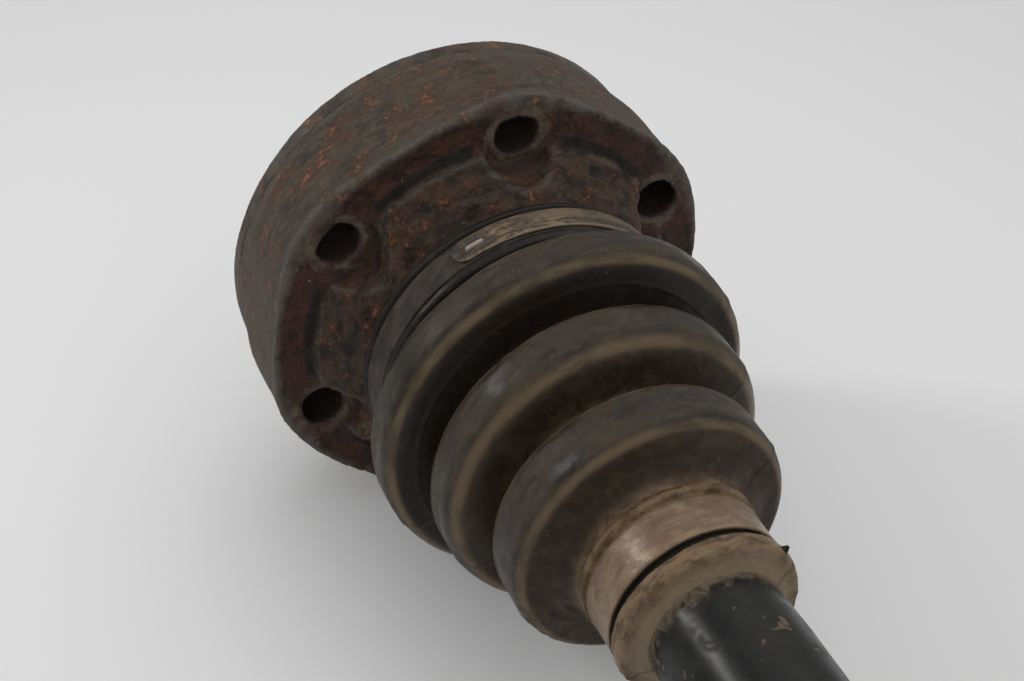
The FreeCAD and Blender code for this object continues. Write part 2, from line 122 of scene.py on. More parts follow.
# ---- boots ---------------------------------------------------------------------
WALL = 1.9
PROFILE_STEP = 0.42
MOULD_AZIMUTH = 64.4
NUB_PLACE = (140.3, 16.3, 12.4)
INNER_SEGMENTS = 400
OUTER_SEGMENTS = 300

# Outside of the inner boot: (x, radius, corner radius).
INNER_PROFILE = (
    (44.8, 36.0, 0.0), (45.0, 37.9, 0.6), (46.7, 38.0, 0.6), (46.9, 36.9, 0.3),
    (56.0, 36.9, 0.3), (56.2, 38.5, 0.7), (58.4, 38.4, 0.9), (59.2, 36.0, 0.8),
    (63.2, 36.2, 0.9), (64.0, 44.4, 6.2), (76.0, 44.4, 5.8), (77.0, 36.0, 3.0), (77.4, 30.2, 1.6),
    (81.2, 30.2, 1.7), (82.5, 37.8, 6.4), (96.2, 37.7, 6.2), (97.5, 24.2, 1.8),
    (101.2, 24.0, 1.8), (102.4, 31.9, 6.4), (116.6, 31.9, 5.8), (118.2, 24.8, 3.2),
    (120.0, 20.9, 2.6), (122.3, 19.8, 0.8), (123.0, 20.7, 0.5), (124.3, 20.6, 0.5), (124.6, 19.5, 0.3),
    (125.6, 19.2, 0.2), (135.6, 19.2, 0.2), (135.8, 18.3, 0.3), (137.4, 18.3, 0.5), (137.8, 20.5, 0.6),
    (141.9, 20.3, 1.1), (142.3, 17.2, 1.2), (143.3, 14.86, 0.0))
INNER_CUTS = (59.8, 69.6, 76.6, 81.8, 89.5, 118.5)

OUTER_PROFILE = (
    (352.0, 15.0, 0.0), (352.0, 19.8, 0.8), (355.0, 19.8, 0.6), (355.3, 19.0, 0.3),
    (364.7, 19.0, 0.3), (365.0, 19.8, 0.6), (368.5, 19.8, 1.5), (371.5, 22.5, 2.0),
    (373.0, 30.5, 4.8), (384.0, 30.5, 4.8), (386.2, 22.6, 1.8), (391.0, 22.6, 1.8),
    (393.2, 37.0, 5.2), (405.0, 37.0, 5.2), (407.2, 27.6, 1.9), (412.4, 27.6, 1.9),
    (414.6, 43.5, 5.4), (427.0, 43.5, 5.4), (429.2, 33.2, 2.0), (434.4, 33.2, 2.0),
    (436.6, 49.5, 5.6), (449.2, 49.5, 5.6), (452.6, 45.4, 1.4), (458.6, 45.8, 0.8),
    (459.2, 45.2, 0.3), (468.2, 45.2, 0.3), (468.6, 46.0, 0.6), (471.5, 46.0, 0.8), (471.5, 43.4, 0.0))
OUTER_CUTS = (380.0, 419.0, 433.0, 446.0, 459.0)


# ---- noise and mesh helpers ----------------------------------------------------
def lattice(cells, seed):
    """Pseudo-random number from 0 to 1 for each whole-number cell."""
    mixed = cells[:, 0] * 73856093 ^ cells[:, 1] * 19349663 ^ cells[:, 2] * 83492791 ^ seed * 2654435761
    mixed = (mixed ^ (mixed >> 13)) * 1274126177 & 0xFFFFFFFF
    mixed = (mixed ^ (mixed >> 16)) * 2246822519 & 0xFFFFFFFF
    return (mixed & 0xFFFFFF) / float(0xFFFFFF)


def noise(points, size, seed):
    """Smooth noise from -1 to 1 with bumps of about the given size."""
    place = points / size
    cell = np.floor(place).astype(np.int64)
    part = place - cell
    part = part * part * part * (part * (part * 6 - 15) + 10)
    total = np.zeros(len(points))
    for corner in np.ndindex(2, 2, 2):
        weight = np.prod(np.where(corner, part, 1 - part), axis=1)
        total += weight * lattice(cell + np.array(corner), seed)
    return total * 2 - 1


def layered(points, size, seed, octaves=3):
    """Sum of noise at halving sizes."""
    total = np.zeros(len(points))
    for octave in range(octaves):
        total += noise(points, size / 2 ** octave, seed + octave) / 2 ** octave
    return total


def step(value, low, high):
    """Smooth step from 0 at low to 1 at high."""
    share = np.clip((value - low) / (high - low), 0, 1)
    return share * share * (3 - 2 * share)


def polar(points):
    """Radius and azimuth in degrees about the axle."""
    return np.hypot(points[:, 1], points[:, 2]), np.degrees(np.arctan2(points[:, 1], points[:, 2]))


def read_points(mesh):
    points = np.empty(len(mesh.vertices) * 3)
    mesh.vertices.foreach_get("co", points)
    return points.reshape(-1, 3) / MM


def write_points(mesh, points):
    mesh.vertices.foreach_set("co", (points * MM).ravel())
    mesh.update()


def vertex_normals(mesh):
    normals = np.empty(len(mesh.vertices) * 3)
    mesh.vertex_normals.foreach_get("vector", normals)
    return normals.reshape(-1, 3)


def edge_pairs(mesh):
    pairs = np.empty(len(mesh.edges) * 2, np.int64)
    mesh.edges.foreach_get("vertices", pairs)
    return pairs.reshape(-1, 2)


def spread(values, pairs, rounds):
    """Averages per-vertex values over their neighbours."""
    values = values.reshape(len(values), -1)
    count = np.bincount(pairs.ravel(), minlength=len(values))[:, None] + 1.0
    for _ in range(rounds):
        total = values.copy()
        for column in range(values.shape[1]):
            total[:, column] += np.bincount(pairs[:, 0], values[pairs[:, 1], column], len(values))
            total[:, column] += np.bincount(pairs[:, 1], values[pairs[:, 0], column], len(values))
        values = total / count
    return values


def set_attribute(mesh, name, values):
    """Writes one number or one vector per vertex."""
    kind = "FLOAT" if values.ndim == 1 else "FLOAT_VECTOR"
    layer = mesh.attributes.new(name, kind, "POINT")
    layer.data.foreach_set("value" if values.ndim == 1 else "vector", values.astype(np.float32).ravel())


def add_object(name, data):
    added = bpy.data.objects.new(name, data)
    bpy.context.scene.collection.objects.link(added)
    return added


def make_object(name, points, faces, material):
    mesh = bpy.data.meshes.new(name)
    mesh.from_pydata([tuple(p) for p in points * MM], [], faces)
    mesh.update()
    piece = add_object(name, mesh)
    mesh.materials.append(material)
    mesh.shade_smooth()
    return piece


# ---- material helpers ----------------------------------------------------------
class Shader:
    """A Principled material with short calls for its texture nodes."""

    def __init__(self, name):
        self.material = bpy.data.materials.new(name)
        self.material.use_nodes = True
        self.tree = self.material.node_tree
        self.bsdf = self.tree.nodes["Principled BSDF"]

    def put(self, socket, value):
        if isinstance(value, bpy.types.NodeSocket):
            self.tree.links.new(value, socket)
        else:
            socket.default_value = value

    def node(self, kind, inputs, output=0, **settings):
        made = self.tree.nodes.new(kind)
        for key, value in settings.items():
            setattr(made, key, value)
        for key, value in inputs.items():
            self.put(made.inputs[key], value)
        return made.outputs[output]

    def math(self, operation, a, b=0.0):
        return self.node("ShaderNodeMath", {0: a, 1: b}, operation=operation)

    def ramp(self, value, low, high, start=0.0, end=1.0):
        """Value from low..high mapped smoothly to start..end."""
        return self.node("ShaderNodeMapRange", {"Value": value, "From Min": low, "From Max": high,
                                                "To Min": start, "To Max": end},
                         interpolation_type="SMOOTHSTEP")

    def mix(self, share, a, b):
        made = self.tree.nodes.new("ShaderNodeMix")
        made.data_type = "RGBA"
        self.put(made.inputs[0], share)
        self.put(made.inputs[6], a)
        self.put(made.inputs[7], b)
        return made.outputs[2]

    def place(self, attribute="place"):
        """Position in millimetres: a stored rest position, or the object's own."""
        if attribute:
            return self.node("ShaderNodeAttribute", {}, 1, attribute_name=attribute)
        coordinates = self.node("ShaderNodeTexCoord", {}, 3)
        return self.node("ShaderNodeVectorMath", {0: coordinates, 3: 1 / MM}, operation="SCALE")

    def value(self, attribute):
        return self.node("ShaderNodeAttribute", {}, 2, attribute_name=attribute)

    def stretch(self, place, along, around):
        """Position scaled along the axle and across it."""
        return self.node("ShaderNodeVectorMath", {0: place, 1: (along, around, around)},
                         operation="MULTIPLY")

    def noise(self, place, size, detail=3.0, rough=0.55, twist=0.0):
        return self.node("ShaderNodeTexNoise", {"Vector": place, "Scale": 1 / size, "Detail": detail,
                                                "Roughness": rough, "Distortion": twist})

    def cells(self, place, size):
        return self.node("ShaderNodeTexVoronoi", {"Vector": place, "Scale": 1 / size})

    def bump(self, height, distance, strength):
        return self.node("ShaderNodeBump", {"Height": height, "Distance": distance * MM, "Strength": strength})

    def finish(self, **values):
        names = {"colour": "Base Color", "rough": "Roughness", "metal": "Metallic", "normal": "Normal",
                 "specular": "Specular IOR Level"}
        for key, value in values.items():
            self.put(self.bsdf.inputs[names[key]], value)
        return self.material


def rgb(red, green, blue):
    return (red, green, blue, 1.0)


# ---- materials -----------------------------------------------------------------
def forging_material():
    """Rusted forging: brown scale with red and orange bloom, greyer near the edges."""
    s = Shader("rusty_forging")
    place = s.place()
    along = s.node("ShaderNodeSeparateXYZ", {0: place})
    hoop = s.stretch(place, 1.9, 0.75)
    broad = s.noise(place, 17, 3, 0.6)
    patch = s.noise(hoop, 4.6, 5, 0.68, 0.3)
    fine = s.noise(hoop, 1.15, 5, 0.76)
    speck = s.noise(s.stretch(place, 1.2, 0.9), 3.3, 6, 0.76)
    rust = s.noise(s.stretch(place, 1.5, 0.8), 8.0, 4, 0.65)
    golden = s.noise(s.stretch(place, 1.7, 0.9), 3.0, 6, 0.76)
    chip = s.noise(s.stretch(place, 1.3, 0.9), 1.7, 2, 0.5)
    pits = s.cells(s.stretch(place, 1.6, 0.9), 1.6)
    colour = s.mix(s.ramp(patch, 0.40, 0.60), rgb(0.033, 0.026, 0.020), rgb(0.094, 0.071, 0.052))
    colour = s.mix(s.ramp(broad, 0.48, 0.60, 0, 0.7), colour, rgb(0.068, 0.060, 0.048))
    colour = s.mix(s.math("MULTIPLY", s.ramp(golden, 0.52, 0.63), s.ramp(rust, 0.38, 0.56, 0.2, 0.8)), colour,
                   rgb(0.150, 0.102, 0.066))
    reddish = s.math("MULTIPLY", s.ramp(rust, 0.44, 0.60), s.ramp(fine, 0.32, 0.58, 0.35, 1.0))
    colour = s.mix(s.math("MULTIPLY", reddish, 0.6), colour, rgb(0.086, 0.044, 0.028))
    edge = s.math("MAXIMUM", s.ramp(along, 8.0, 4.5), s.ramp(along, 25.5, 28.5, 0, 0.5))
    edge = s.math("MULTIPLY", edge, s.ramp(patch, 0.35, 0.55, 0.25, 0.85))
    edge = s.math("MULTIPLY", edge, s.ramp(along, 31.6, 31.0))
    colour = s.mix(edge, colour, rgb(0.056, 0.056, 0.053))
    scale = s.mix(s.ramp(patch, 0.40, 0.60), rgb(0.019, 0.0135, 0.0105), rgb(0.070, 0.049, 0.036))
    scale = s.mix(s.math("MULTIPLY", reddish, 0.6), scale, rgb(0.095, 0.037, 0.024))
    colour = s.mix(s.value("hub"), colour, scale)
    spots = s.math("MULTIPLY", s.ramp(speck, 0.535, 0.62), s.ramp(rust, 0.40, 0.54, 0.1, 1.0))
    face = s.value("face")
    maroon = s.mix(s.ramp(patch, 0.38, 0.62), rgb(0.026, 0.0125, 0.0095), rgb(0.078, 0.030, 0.021))
    colour = s.mix(face, colour, maroon)
    colour = s.mix(s.math("MULTIPLY", spots, s.math("SUBTRACT", 0.9, s.math("MULTIPLY", face, 0.75))),
                   colour, rgb(0.235, 0.098, 0.052))
    colour = s.mix(s.ramp(chip, 0.72, 0.77, 0, 0.75), colour, rgb(0.32, 0.185, 0.13))
    colour = s.mix(s.ramp(fine, 0.54, 0.68, 0, 0.75), colour, rgb(0.018, 0.013, 0.011))
    ring = s.math("MULTIPLY", s.value("ring"), s.ramp(rust, 0.42, 0.56, 0.15, 0.9))
    colour = s.mix(ring, colour, rgb(0.140, 0.108, 0.080))
    # Edge wear and a painted highlight: convex edges are painted a lighter grey-tan.
    worn_edge_and_highlight = s.math("MULTIPLY", s.value("worn_edge_and_highlight"), s.ramp(patch, 0.36, 0.56, 0.1, 0.6))
    colour = s.mix(worn_edge_and_highlight, colour, rgb(0.118, 0.105, 0.092))
    # Painted shade: the hollows, kept under the attribute named dirt, are painted near black.
    colour = s.mix(s.value("dirt"), colour, rgb(0.0085, 0.0070, 0.0060))
    # Painted shade: the deepest grooves of the hub's wrinkled scale are painted near black.
    colour = s.mix(s.math("MULTIPLY", s.value("crack_shade"), 0.85), colour, rgb(0.014, 0.010, 0.008))
    colour = s.mix(s.value("bore"), colour, rgb(0.020, 0.0085, 0.0065))
    height = s.math("ADD", s.math("MULTIPLY", fine, -0.8), s.math("MULTIPLY", spots, 0.5))
    height = s.math("ADD", height, s.math("MULTIPLY", s.ramp(pits, 0.05, 0.55), 0.5))
    height = s.math("ADD", height, patch)
    rough = s.ramp(patch, 0.3, 0.7, 0.56, 0.76)
    return s.finish(colour=colour, rough=rough, normal=s.bump(height, 0.55, 0.9), specular=0.32)


def rubber_material():
    """Old rubber: dull crests, brown dust and painted shade in the folds, tan dust and painted light on the lit
    sides, a rubbed line on each shoulder.
    """
    s = Shader("boot_rubber")
    place = s.place()
    lean = s.value("lean")
    depth = s.value("depth")
    along = s.node("ShaderNodeSeparateXYZ", {0: place})
    hoop = s.stretch(place, 1.3, 0.55)
    cloud = s.noise(hoop, 9, 4, 0.6, 0.2)
    dust = s.noise(s.stretch(place, 1.5, 0.6), 3.4, 5, 0.72, 0.4)
    smear = s.noise(s.stretch(place, 2.0, 0.40), 6.0, 3, 0.6)
    grain = s.noise(place, 0.55, 3, 0.7)
    dirt = s.noise(place, 1.3, 3, 0.65)
    colour = s.mix(s.ramp(cloud, 0.38, 0.60), rgb(0.0205, 0.0160, 0.0130), rgb(0.0490, 0.0375, 0.0275))
    colour = s.mix(s.ramp(smear, 0.52, 0.66, 0, 0.6), colour, rgb(0.0170, 0.0165, 0.0165))
    colour = s.mix(s.ramp(dust, 0.47, 0.68, 0, 0.45), colour, rgb(0.090, 0.067, 0.042))
    # Tan dust and painted light: the sides of the crests that face the window lamp are painted lighter.
    left_dust_and_light = s.math("MULTIPLY", s.ramp(lean, -0.15, -0.70), s.ramp(dust, 0.36, 0.54, 0.1, 0.75))
    colour = s.mix(left_dust_and_light, colour, rgb(0.118, 0.087, 0.054))
    # Painted shade: the flanks that face away from the window lamp (lean near 1) and the deep valleys take the
    # dark brown, which mixes brown dust with painted shade.
    flank = s.ramp(s.math("ADD", lean, s.math("MULTIPLY", dust, 0.36)), 0.88, 1.03)
    valley_shade = s.ramp(depth, -0.5, 2.5)
    shade = s.math("MAXIMUM", flank, valley_shade)
    brown = s.mix(s.ramp(along, 78, 104), rgb(0.0165, 0.0122, 0.0098), rgb(0.0300, 0.0200, 0.0138))
    brown = s.mix(s.math("MULTIPLY", s.ramp(dust, 0.45, 0.64, 0, 0.65), s.ramp(along, 82, 100, 0.2, 1.0)),
                  brown, rgb(0.062, 0.042, 0.025))
    settled = s.math("MULTIPLY", s.ramp(depth, 1.0, 5.0), s.ramp(along, 82, 96, 0.12, 1.0))
    settled = s.math("MULTIPLY", settled, s.ramp(dust, 0.36, 0.56, 0.25, 1.0))
    brown = s.mix(settled, brown, rgb(0.088, 0.064, 0.040))
    colour = s.mix(shade, colour, brown)
    line = s.math("MULTIPLY", s.ramp(lean, 0.42, 0.70), s.ramp(lean, 0.93, 0.78))
    line = s.math("MULTIPLY", line, s.ramp(depth, 1.0, -1.0))
    line = s.math("MULTIPLY", line, s.ramp(smear, 0.36, 0.58, 0.35, 0.9))
    colour = s.mix(line, colour, rgb(0.135, 0.098, 0.058))
    lips = s.math("MULTIPLY", s.ramp(along, 64.2, 62.6), s.ramp(dust, 0.50, 0.66, 0.94, 0.55))
    colour = s.mix(lips, colour, rgb(0.0110, 0.0105, 0.0105))
    collar = s.math("MULTIPLY", s.ramp(along, 119.6, 122.6), s.ramp(along, 300, 200))
    tan = s.mix(s.ramp(dust, 0.38, 0.60), rgb(0.088, 0.056, 0.030), rgb(0.205, 0.140, 0.084))
    colour = s.mix(collar, colour, tan)
    groove = s.math("MULTIPLY", s.ramp(along, 134.8, 135.6), s.ramp(along, 138.4, 137.6))
    colour = s.mix(groove, colour, rgb(0.010, 0.009, 0.008))
    end = s.math("ADD", along, s.math("MULTIPLY", s.math("SUBTRACT", dust, 0.5), 0.8))
    end = s.math("MULTIPLY", s.ramp(end, 141.5, 142.5), s.ramp(along, 300, 200))
    colour = s.mix(s.math("MULTIPLY", end, s.ramp(dust, 0.30, 0.50, 0.85, 1.0)), colour,
                   rgb(0.225, 0.172, 0.116))
    colour = s.mix(s.ramp(dirt, 0.69, 0.75, 0, 0.8), colour, rgb(0.17, 0.135, 0.095))
    nub = s.node("ShaderNodeVectorMath", {0: place, 1: NUB_PLACE}, 1, operation="DISTANCE")
    colour = s.mix(s.ramp(nub, 1.15, 0.8), colour, rgb(0.009, 0.0085, 0.008))
    colour = s.mix(s.value("seam"), colour, rgb(0.012, 0.010, 0.009))
    rough = s.math("MAXIMUM", s.ramp(cloud, 0.40, 0.58, 0.35, 0.60), s.math("MULTIPLY", left_dust_and_light, 0.85))
    height = s.math("ADD", s.math("MULTIPLY", grain, 0.5), dust)
    return s.finish(colour=colour, rough=rough, normal=s.bump(height, 0.09, 0.5), specular=0.22)


def clamp_material(name, dark, light, rough, metal, wear):
    s = Shader(name)
    place = s.place()
    cloud = s.noise(s.stretch(place, 1.2, 0.8), 4.5, 5, 0.66, 0.3)
    fine = s.noise(place, 0.8, 4, 0.7)
    spots = s.noise(place, 2.2, 4, 0.7)
    colour = s.mix(s.ramp(cloud, 0.38, 0.64), rgb(*dark), rgb(*light))
    colour = s.mix(s.ramp(spots, 0.60, 0.72, 0, 0.5), colour, rgb(0.10, 0.048, 0.026))
    hoops = s.noise(s.stretch(place, 2.4, 0.35), 1.9, 4, 0.7)
    colour = s.mix(s.ramp(hoops, 0.48, 0.60, 0, wear), colour, rgb(0.014, 0.0105, 0.009))
    colour = s.mix(s.ramp(fine, 0.56, 0.72, 0, wear), colour, rgb(0.016, 0.012, 0.010))
    return s.finish(colour=colour, rough=s.ramp(cloud, 0.3, 0.7, rough + 0.08, rough - 0.06), metal=metal,
                    normal=s.bump(fine, 0.10 + 0.3 * wear, 0.5 + 0.4 * wear))


def tongue_material():
    """Dull lapped band end with a worn outline, golden scuffs and a smooth dusty run."""
    s = Shader("clamp_tongue")
    place = s.place()
    arc = s.value("arc")
    side = s.value("side")
    cloud = s.noise(s.stretch(place, 1.2, 0.7), 2.6, 4, 0.7, 0.5)
    streak = s.noise(s.stretch(place, 2.6, 0.5), 1.9, 4, 0.75, 0.6)
    fine = s.noise(place, 0.6, 4, 0.7)
    colour = s.mix(s.ramp(cloud, 0.40, 0.62), rgb(0.034, 0.027, 0.024), rgb(0.085, 0.064, 0.050))
    scuffs = s.math("MULTIPLY", s.ramp(arc, 7.5, 10.5), s.ramp(arc, 34.0, 26.0))
    scuffs = s.math("MULTIPLY", scuffs, s.ramp(streak, 0.47, 0.57))
    colour = s.mix(scuffs, colour, rgb(0.205, 0.148, 0.082))
    dusty = s.math("MULTIPLY", s.ramp(arc, 18.0, 27.0), s.ramp(side, 1.6, -0.6))
    dusty = s.math("MULTIPLY", dusty, s.ramp(cloud, 0.34, 0.50, 0.35, 0.95))
    colour = s.mix(dusty, colour, rgb(0.175, 0.128, 0.086))
    colour = s.mix(s.math("MULTIPLY", s.value("rim"), s.ramp(cloud, 0.34, 0.52, 0.3, 0.95)), colour,
                   rgb(0.235, 0.172, 0.122))
    colour = s.mix(s.value("bead"), colour, rgb(0.42, 0.345, 0.31))
    colour = s.mix(s.ramp(fine, 0.58, 0.74, 0, 0.45), colour, rgb(0.028, 0.020, 0.016))
    return s.finish(colour=colour, rough=s.ramp(cloud, 0.3, 0.7, 0.58, 0.42), metal=0.25,
                    normal=s.bump(fine, 0.12, 0.6))


def steel_material(name, dark, light, rust, share, rough, metal=0.7):
    """Bare steel with stains and rust on a share of its surface; it suits CAD nodes."""
    s = Shader(name)
    place = s.place("")
    cloud = s.noise(place, 9, 4, 0.6)
    fine = s.noise(place, 0.9, 4, 0.7)
    spots = s.noise(place, 3.2, 5, 0.7, 0.5)
    colour = s.mix(s.ramp(cloud, 0.35, 0.65), rgb(*dark), rgb(*light))
    rusty = s.ramp(spots, 0.72 - share * 0.3, 0.80 - share * 0.3)
    colour = s.mix(rusty, colour, rgb(*rust))
    return s.finish(colour=colour, rough=s.ramp(fine, 0.3, 0.7, rough - 0.1, rough + 0.12),
                    metal=metal, normal=s.bump(fine, 0.08, 0.5))


def cap_material():
    """Rusty sheet steel: blue-grey skin broken by brown and orange rust."""
    s = Shader("cap_sheet")
    place = s.place()
    patch = s.noise(place, 8, 5, 0.66, 0.3)
    fine = s.noise(place, 1.0, 4, 0.7)
    rust = s.noise(place, 4.0, 5, 0.7, 0.4)
    colour = s.mix(s.ramp(patch, 0.38, 0.60), rgb(0.032, 0.026, 0.021), rgb(0.072, 0.060, 0.048))
    colour = s.mix(s.ramp(rust, 0.46, 0.60, 0, 0.85), colour, rgb(0.095, 0.050, 0.030))
    colour = s.mix(s.ramp(rust, 0.60, 0.70, 0, 0.8), colour, rgb(0.22, 0.095, 0.045))
    colour = s.mix(s.ramp(fine, 0.56, 0.72, 0, 0.6), colour, rgb(0.018, 0.014, 0.012))
    height = s.math("ADD", fine, s.math("MULTIPLY", s.ramp(rust, 0.46, 0.66), 0.8))
    return s.finish(colour=colour, rough=s.ramp(patch, 0.3, 0.7, 0.62, 0.46), metal=0.25,
                    normal=s.bump(height, 0.25, 0.8))


def paint_material():
    s = Shader("bar_paint")
    place = s.place("")
    along = s.node("ShaderNodeSeparateXYZ", {0: place})
    chips = s.noise(place, 4.4, 2, 0.45, 0.1)
    small = s.noise(place, 2.1, 2, 0.5, 0.1)
    cloud = s.noise(place, 12, 4, 0.62)
    edge = s.noise(place, 2.6, 4, 0.65, 0.3)
    ripple = s.noise(place, 1.6, 2, 0.5)
    colour = s.mix(s.ramp(cloud, 0.42, 0.66), rgb(0.0040, 0.0042, 0.0046), rgb(0.0095, 0.0090, 0.0082))
    chipped = s.math("MAXIMUM", s.ramp(chips, 0.645, 0.705, 0, 0.9), s.ramp(small, 0.69, 0.75, 0, 0.8))
    colour = s.mix(chipped, colour, rgb(0.135, 0.088, 0.052))
    spread_in = s.math("ADD", along, s.math("MULTIPLY", edge, -9.0))
    spread_out = s.math("ADD", along, s.math("MULTIPLY", edge, 9.0))
    dust = s.math("MAXIMUM", s.ramp(spread_in, 142.6, 138.0), s.ramp(spread_out, 350.9, 355.5))
    colour = s.mix(s.math("MULTIPLY", dust, 0.9), colour, rgb(0.205, 0.163, 0.118))
    height = s.math("SUBTRACT", s.math("MULTIPLY", ripple, 0.25), chipped)
    rough = s.math("MAXIMUM", s.ramp(chips, 0.4, 0.7, 0.29, 0.48), s.math("MULTIPLY", dust, 0.8))
    return s.finish(colour=colour, rough=rough, normal=s.bump(height, 0.04, 0.4), specular=0.30)


def floor_material():
    """Pale backdrop with a painted pool of light under the part, painted darker further away."""
    s = Shader("floor")
    away = s.node("ShaderNodeVectorMath", {0: s.place(""), 1: FLOOR_CENTRE}, 1, operation="DISTANCE")
    return s.finish(colour=s.mix(s.ramp(away, 60, 620), FLOOR_PAINTED_LIT, FLOOR_PAINTED_DIM), rough=0.85)


# ---- lathe work ----------------------------------------------------------------
def rounded(profile):
    """Points along an (x, radius, corner radius) outline with its corners rounded."""
    corners = [Vector((x, radius)) for x, radius, _ in profile]
    points = [corners[0]]
    for before, corner, after, entry in zip(corners, corners[1:], corners[2:], profile[1:]):
        back = (before - corner).normalized()
        ahead = (after - corner).normalized()
        half = back.angle(ahead) / 2
        reach = min(entry[2] / math.tan(half), 0.49 * (before - corner).length, 0.49 * (after - corner).length)
        bend = reach * math.tan(half)
        centre = corner + (back + ahead).normalized() * (bend / math.sin(half))
        first = corner + back * reach - centre
        last = corner + ahead * reach - centre
        turn = first.angle_signed(last) if bend > 1e-6 else 0.0
        count = max(2, int(abs(turn) * bend / PROFILE_STEP) + 2)
        for number in range(count):
            swing = -turn * number / (count - 1)
            points.append(centre + Matrix.Rotation(swing, 2) @ first)
    points.append(corners[-1])
    return np.array([tuple(p) for p in points])


def resampled(points, spacing):
    """The same line with even spacing."""
    run = np.concatenate([[0], np.cumsum(np.hypot(*np.diff(points, axis=0).T))])
    keep = np.concatenate([[True], np.diff(run) > 1e-9])
    even = np.linspace(0, run[-1], max(2, int(run[-1] / spacing) + 1))
    return np.stack([np.interp(even, run[keep], points[keep, axis]) for axis in (0, 1)], axis=1)


def blurred(values, width):
    """Gaussian average along a line of samples."""
    reach = int(width * 3) + 1
    kernel = np.exp(-0.5 * (np.arange(-reach, reach + 1) / width) ** 2)
    kernel /= kernel.sum()
    padded = np.concatenate([np.full(reach, values[0]), values, np.full(reach, values[-1])])
    return np.convolve(padded, kernel, "valid")


def line_normals(line):
    """Outward normals of an (x, radius) line that runs along +x."""
    along = np.gradient(line, axis=0)
    along /= np.hypot(along[:, 0], along[:, 1])[:, None]
    return np.stack([-along[:, 1], along[:, 0]], axis=1)


def swept(line, segments):
    """Grid of points, one ring of segments for each (x, radius) of the line."""
    azimuth = np.radians(np.arange(segments) * 360 / segments)
    grid = np.empty((len(line), segments, 3))
    grid[:, :, 0] = line[:, :1]
    grid[:, :, 1] = line[:, 1:] * np.sin(azimuth)
    grid[:, :, 2] = line[:, 1:] * np.cos(azimuth)
    return grid


def ring_faces(rows, segments, closed):
    """Quads between neighbouring rings; closed also joins the last ring to the first."""
    last = rows if closed else rows - 1
    row = np.arange(last)[:, None]
    column = np.arange(segments)[None, :]
    ahead = (column + 1) % segments
    below = (row + 1) % rows
    quads = np.stack([row * segments + column, below * segments + column,
                      below * segments + ahead, row * segments + ahead], axis=-1)
    return quads.reshape(-1, 4).tolist()


class Boot:
    """A rubber bellows: one sculpted surface, cut into closed rings."""

    def __init__(self, name, profile, segments, sculpt):
        self.name = name
        self.segments = segments
        self.line = resampled(rounded(profile), PROFILE_STEP)
        smooth = np.stack([blurred(self.line[:, axis], 3.5) for axis in (0, 1)], axis=1)
        out = line_normals(self.line)
        slope = line_normals(smooth)
        within = smooth - slope * WALL
        self.lean = blurred(out[:, 0], 1.5)
        self.depth = blurred(self.line[:, 1], 9.0 / PROFILE_STEP) - self.line[:, 1]
        self.outer = swept(self.line, segments)
        self.inner = swept(within, segments)
        azimuth = np.radians(np.arange(segments) * 360 / segments)
        normals = np.empty_like(self.outer)
        normals[:, :, 0] = out[:, :1]
        normals[:, :, 1] = out[:, 1:] * np.sin(azimuth)
        normals[:, :, 2] = out[:, 1:] * np.cos(azimuth)
        flat = self.outer.reshape(-1, 3)
        height = sculpt(flat).reshape(len(self.line), segments)
        self.rest = self.outer.copy()
        self.outer += normals * height[:, :, None]
        self.normals = self.surface_normals()

    def surface_normals(self):
        grid = self.outer
        along = np.gradient(grid, axis=0)
        around = np.roll(grid, -1, axis=1) - np.roll(grid, 1, axis=1)
        normals = np.cross(along, around)
        normals /= np.linalg.norm(normals, axis=2)[:, :, None]
        return normals

    def section(self, number, start, end, material):
        """One closed ring between two rows of the surface."""
        segments = self.segments
        rows = range(start, end + 1)
        inside = list(range(end, start - 1, -4))
        if inside[-1] != start:
            inside.append(start)
        grid = np.concatenate([self.outer[start:end + 1], self.inner[inside]])
        faces = ring_faces(len(grid), segments, True)
        piece = make_object(f"{self.name}_{number}", grid.reshape(-1, 3), faces, material)
        mesh = piece.data
        keep = list(rows) + inside
        set_attribute(mesh, "place", self.rest[keep].reshape(-1, 3))
        set_attribute(mesh, "lean", np.repeat(self.lean[keep], segments))
        set_attribute(mesh, "depth", np.repeat(self.depth[keep], segments))
        set_attribute(mesh, "seam", 0.8 * mould_line(self.rest[keep].reshape(-1, 3), 0.5))
        normals = np.concatenate([self.normals[start:end + 1], -self.normals[inside]])
        mesh.normals_split_custom_set_from_vertices(normals.reshape(-1, 3).tolist())
        return piece

    def sections(self, cuts, material):
        rows = [0] + [int(np.argmin(np.abs(self.line[:, 0] - cut))) for cut in cuts] + [len(self.line) - 1]
        return [self.section(number, start, end, material)
                for number, (start, end) in enumerate(zip(rows, rows[1:]), 1)]


def mould_line(points, width):
    """From 0 to 1 near the ragged line where the halves of the mould met."""
    radius, turn = polar(points)
    off = (turn - MOULD_AZIMUTH + 90) % 180 - 90
    arc = np.radians(off) * radius + 0.25 * noise(points, 5.0, 63)
    return np.exp(-(arc / width) ** 2) * (0.55 + 0.45 * noise(points, 2.2, 61))


